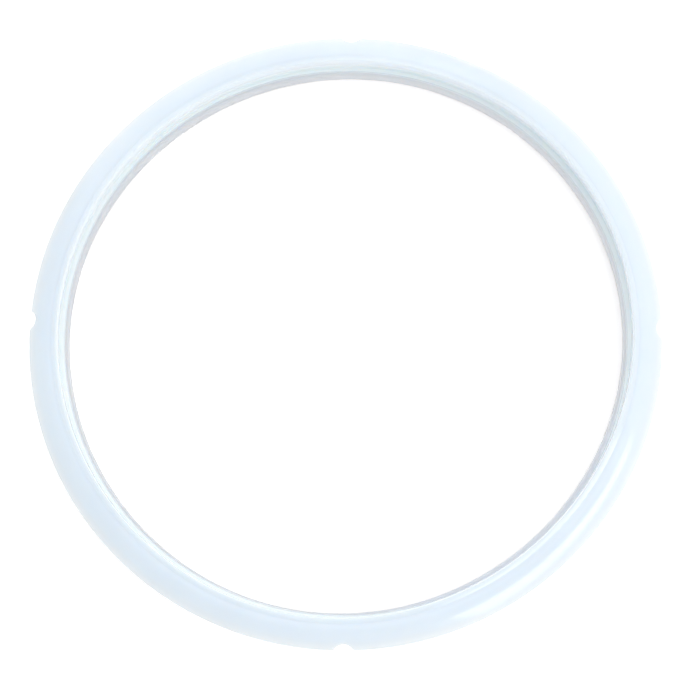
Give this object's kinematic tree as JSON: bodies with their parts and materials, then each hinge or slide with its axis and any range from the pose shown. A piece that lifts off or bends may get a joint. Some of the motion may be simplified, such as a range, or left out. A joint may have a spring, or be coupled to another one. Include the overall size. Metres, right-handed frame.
{
  "type": "pressure cooker sealing ring",
  "caption": "Round translucent silicone sealing ring for a pressure cooker's lid, with a sloped outer flange, half-round rim notches, a rounded crown and a groove inside.",
  "frame": {"origin": "centre of the ring at the plane of its flat foot", "axes": "+Z along the ring's axis, from the foot to the crown; +X and +Y through rim notches"},
  "size_m": [0.2398, 0.2398, 0.0128],
  "materials": {
    "silicone": "translucent, satin"
  },
  "bodies": {
    "root": {"sealing_ring": "silicone"}
  },
  "joints": []
}
